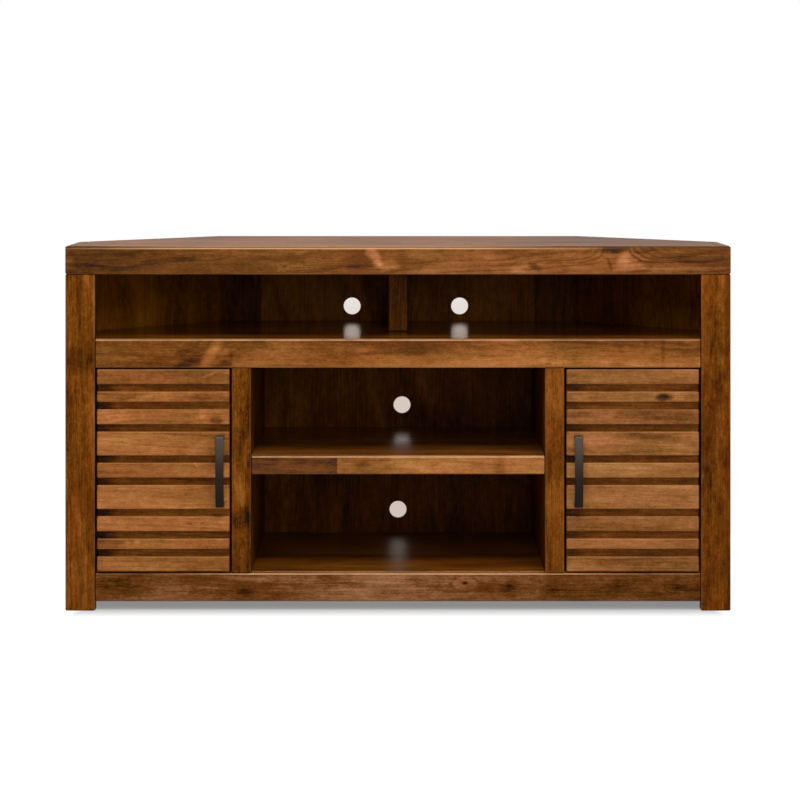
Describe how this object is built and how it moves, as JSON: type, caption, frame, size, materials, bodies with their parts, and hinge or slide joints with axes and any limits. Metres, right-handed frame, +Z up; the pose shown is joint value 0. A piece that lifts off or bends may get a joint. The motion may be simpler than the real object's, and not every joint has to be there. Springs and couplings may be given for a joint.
{
  "type": "corner tv cabinet",
  "caption": "Low wooden corner cabinet for a television, with angled back corners, open shelves in the middle and along the top, and a slatted door at each side.",
  "frame": {"origin": "on the floor, at the middle of the bounding box seen from above, handles included", "axes": "+X to the right as seen from the front, +Y towards the back, +Z up; the doors face -Y"},
  "size_m": [1.4224, 0.513, 0.779],
  "materials": {
    "alder_front": "knotty alder, warm brown stain, satin lacquer",
    "alder_frame": "knotty alder, brown stain, satin lacquer",
    "alder_inside": "alder veneer, brown stain, satin lacquer",
    "dark_metal": "dark bronze, satin",
    "plated_steel": "nickel plate"
  },
  "bodies": {
    "carcass": {"top_panel": "alder_front", "top_front_rail": "alder_front", "top_left_rail": "alder_front", "top_right_rail": "alder_front", "mid_rail": "alder_front", "base_rail": "alder_frame", "left_post": "alder_frame", "right_post": "alder_frame", "left_stile": "alder_frame", "right_stile": "alder_frame", "left_side_panel": "alder_frame", "right_side_panel": "alder_frame", "left_rear_foot": "alder_frame", "right_rear_foot": "alder_frame", "upper_divider": "alder_frame", "centre_shelf_edge": "alder_frame", "base_panel": "alder_inside", "upper_shelf": "alder_inside", "centre_shelf": "alder_inside", "left_partition": "alder_inside", "right_partition": "alder_inside", "left_hinge_block": "alder_inside", "right_hinge_block": "alder_inside", "left_cupboard_shelf": "alder_inside", "right_cupboard_shelf": "alder_inside", "back_panel_centre": "alder_inside", "back_panel_left": "alder_inside", "back_panel_right": "alder_inside", "left_diagonal_panel": "alder_inside", "right_diagonal_panel": "alder_inside", "left_upper_hinge_arm": "plated_steel", "left_lower_hinge_arm": "plated_steel", "right_upper_hinge_arm": "plated_steel", "right_lower_hinge_arm": "plated_steel"},
    "left_door": {"left_door_panel": "alder_front", "left_door_slat_1": "alder_front", "left_door_slat_2": "alder_front", "left_door_slat_3": "alder_front", "left_door_slat_4": "alder_front", "left_door_slat_5": "alder_front", "left_door_slat_6": "alder_front", "left_door_slat_7": "alder_front", "left_door_slat_8": "alder_front", "left_door_slat_9": "alder_front", "left_door_handle": "dark_metal", "left_upper_hinge_cup": "plated_steel", "left_lower_hinge_cup": "plated_steel"},
    "right_door": {"right_door_panel": "alder_front", "right_door_slat_1": "alder_front", "right_door_slat_2": "alder_front", "right_door_slat_3": "alder_front", "right_door_slat_4": "alder_front", "right_door_slat_5": "alder_front", "right_door_slat_6": "alder_front", "right_door_slat_7": "alder_front", "right_door_slat_8": "alder_front", "right_door_slat_9": "alder_front", "right_door_handle": "dark_metal", "right_upper_hinge_cup": "plated_steel", "right_lower_hinge_cup": "plated_steel"}
  },
  "joints": [
    {"name": "left_door_hinge", "type": "hinge", "parent": "carcass", "child": "left_door", "pos_m": [-0.6197, -0.2112, 0.2998], "axis": [0, 0, -1], "range_deg": [0, 95]},
    {"name": "right_door_hinge", "type": "hinge", "parent": "carcass", "child": "right_door", "pos_m": [0.6197, -0.2112, 0.2998], "axis": [0, 0, 1], "range_deg": [0, 95]}
  ]
}
